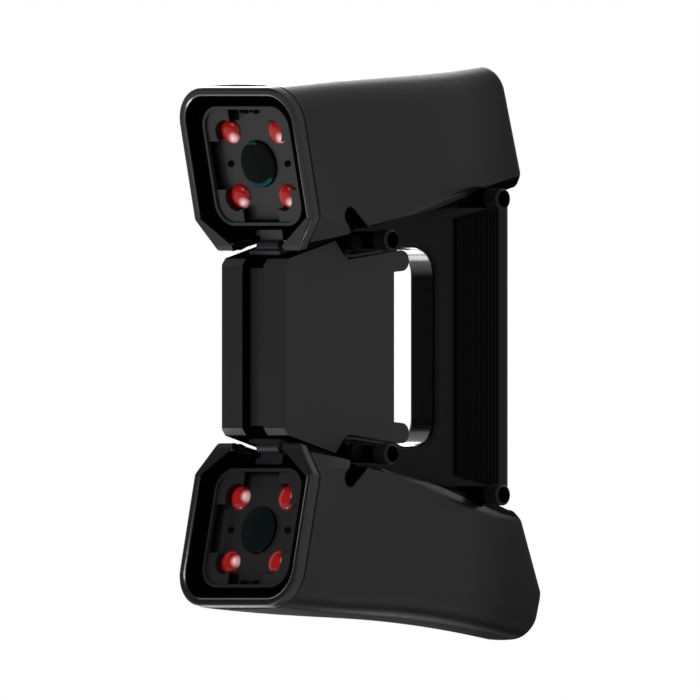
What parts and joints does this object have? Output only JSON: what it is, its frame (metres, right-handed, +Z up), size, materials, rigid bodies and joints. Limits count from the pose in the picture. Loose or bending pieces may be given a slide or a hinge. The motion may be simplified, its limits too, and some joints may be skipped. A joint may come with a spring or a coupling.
{
  "type": "hand-held three-d scanner",
  "caption": "Hand-held stereo scanner: toed-in camera heads with ring lamps, a laser block between them, an upright finger grip, side posts and press keys.",
  "frame": {"origin": "middle of the hand grip", "axes": "+Z up along the grip, from the bottom head to the top head; -Y the way the heads look; +X the right side seen from behind"},
  "size_m": [0.085, 0.1991, 0.2871],
  "materials": {
    "pod_plastic": "fine textured black moulding",
    "bezel_plastic": "satin black",
    "cover_plastic": "dark grey satin",
    "lamp_board": "dark grey solder mask",
    "red_lamp": "clear red dome",
    "connector_plastic": "black moulding",
    "black_metal": "black anodised",
    "lens_glass": "dark coated glass",
    "camera_metal": "dark anodised",
    "circuit_board": "green solder mask",
    "clip_plastic": "satin black",
    "block_plastic": "satin blue-black",
    "window_glass": "dark filter",
    "plate_plastic": "satin dark grey",
    "brass_parts": "turned",
    "frame_plastic": "fine textured black moulding",
    "pad_rubber": "ribbed black",
    "post_plastic": "black, turned",
    "keypad_plastic": "gloss black",
    "key_rubber": "dark grey silicone",
    "scan_rubber": "dull red silicone",
    "switch_metal": "stamped",
    "socket_metal": "black chromate"
  },
  "bodies": {
    "scanner": {"board_standoffs": "brass_parts", "bottom_bezel": "bezel_plastic", "bottom_board_connector": "connector_plastic", "bottom_board_screws": "black_metal", "bottom_camera_body": "camera_metal", "bottom_lamp_cover": "cover_plastic", "bottom_led_board": "lamp_board", "bottom_led_lamps": "red_lamp", "bottom_lens_barrel": "black_metal", "bottom_lens_glass": "lens_glass", "bottom_link_clip": "clip_plastic", "bottom_pod": "pod_plastic", "bottom_sensor_board": "circuit_board", "cable_socket": "socket_metal", "front_cover": "block_plastic", "grip_frame": "frame_plastic", "interface_board": "circuit_board", "key_switches": "switch_metal", "keypad_board": "circuit_board", "keypad_plate": "keypad_plastic", "laser_modules": "brass_parts", "left_grip_pad": "pad_rubber", "left_side_plate": "plate_plastic", "left_side_posts": "post_plastic", "main_board": "circuit_board", "projector_body": "camera_metal", "projector_window": "window_glass", "right_grip_pad": "pad_rubber", "right_side_plate": "plate_plastic", "right_side_posts": "post_plastic", "socket_insert": "connector_plastic", "socket_nut": "socket_metal", "top_bezel": "bezel_plastic", "top_board_connector": "connector_plastic", "top_board_screws": "black_metal", "top_camera_body": "camera_metal", "top_lamp_cover": "cover_plastic", "top_led_board": "lamp_board", "top_led_lamps": "red_lamp", "top_lens_barrel": "black_metal", "top_lens_glass": "lens_glass", "top_link_clip": "clip_plastic", "top_pod": "pod_plastic", "top_sensor_board": "circuit_board"},
    "scan_key": {"scan_key": "scan_rubber"},
    "plus_key": {"plus_key": "key_rubber"},
    "minus_key": {"minus_key": "key_rubber"},
    "mode_key": {"mode_key": "key_rubber"}
  },
  "joints": [
    {"name": "scan_key_press", "type": "slide", "parent": "scanner", "child": "scan_key", "axis": [0, -0.9642, -0.2653], "range_m": [0, 0.0012], "stiffness_N_per_m": 1200},
    {"name": "plus_key_press", "type": "slide", "parent": "scanner", "child": "plus_key", "axis": [0, -0.9642, -0.2653], "range_m": [0, 0.0012], "stiffness_N_per_m": 1200},
    {"name": "minus_key_press", "type": "slide", "parent": "scanner", "child": "minus_key", "axis": [0, -0.9642, -0.2653], "range_m": [0, 0.0012], "stiffness_N_per_m": 1200},
    {"name": "mode_key_press", "type": "slide", "parent": "scanner", "child": "mode_key", "axis": [0, -0.9642, -0.2653], "range_m": [0, 0.0012], "stiffness_N_per_m": 1200}
  ]
}
